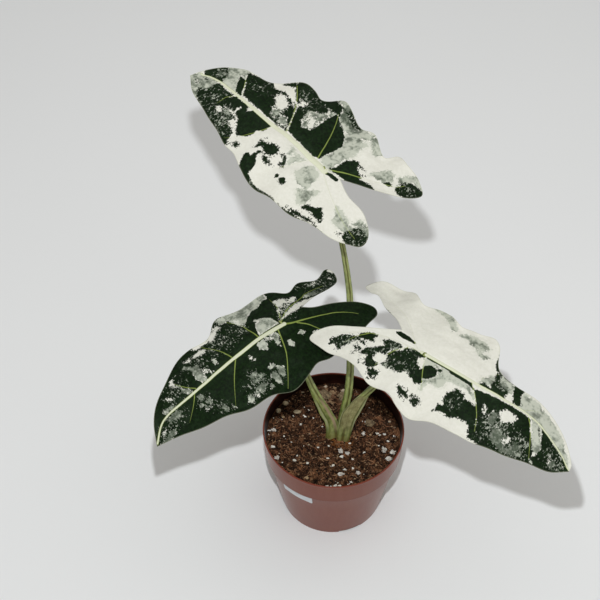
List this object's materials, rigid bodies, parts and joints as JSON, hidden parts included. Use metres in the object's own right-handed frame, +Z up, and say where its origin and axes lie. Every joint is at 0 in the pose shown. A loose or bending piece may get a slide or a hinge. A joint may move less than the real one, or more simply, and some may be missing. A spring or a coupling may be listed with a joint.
{
  "type": "potted alocasia",
  "caption": "Small variegated alocasia: arrow-shaped cream, mint and dark green blades on upright stems, in a round reddish-brown nursery pot of dark potting mix.",
  "frame": {"origin": "middle of the pot's underside, at the level it stands on", "axes": "+Z up along the pot's axis, -Y towards the front, +X to the right seen from the front"},
  "size_m": [0.3049, 0.2678, 0.3677],
  "materials": {
    "pot_plastic": "matte",
    "label_paper": "satin",
    "potting_mix": "matte",
    "corm_skin": "matte",
    "root_skin": "matte",
    "stem_skin": "satin",
    "blade_skin": "satin",
    "perlite_grain": "matte",
    "pebble_stone": "matte",
    "bark_chip": "matte"
  },
  "bodies": {
    "root": {"pot": "pot_plastic", "label": "label_paper", "soil": "potting_mix", "corm": "corm_skin", "root_1": "root_skin", "root_2": "root_skin", "root_3": "root_skin", "root_4": "root_skin", "root_5": "root_skin", "stem_top": "stem_skin", "stem_left": "stem_skin", "stem_right": "stem_skin", "blade_top": "blade_skin", "blade_left": "blade_skin", "blade_right": "blade_skin", "perlite_1": "perlite_grain", "perlite_2": "perlite_grain", "perlite_3": "perlite_grain", "perlite_4": "perlite_grain", "perlite_5": "perlite_grain", "perlite_6": "perlite_grain", "perlite_7": "perlite_grain", "perlite_8": "perlite_grain", "perlite_9": "perlite_grain", "perlite_10": "perlite_grain", "pebble_1": "pebble_stone", "pebble_2": "pebble_stone", "pebble_3": "pebble_stone", "bark_1": "bark_chip", "bark_2": "bark_chip", "bark_3": "bark_chip"}
  },
  "joints": []
}
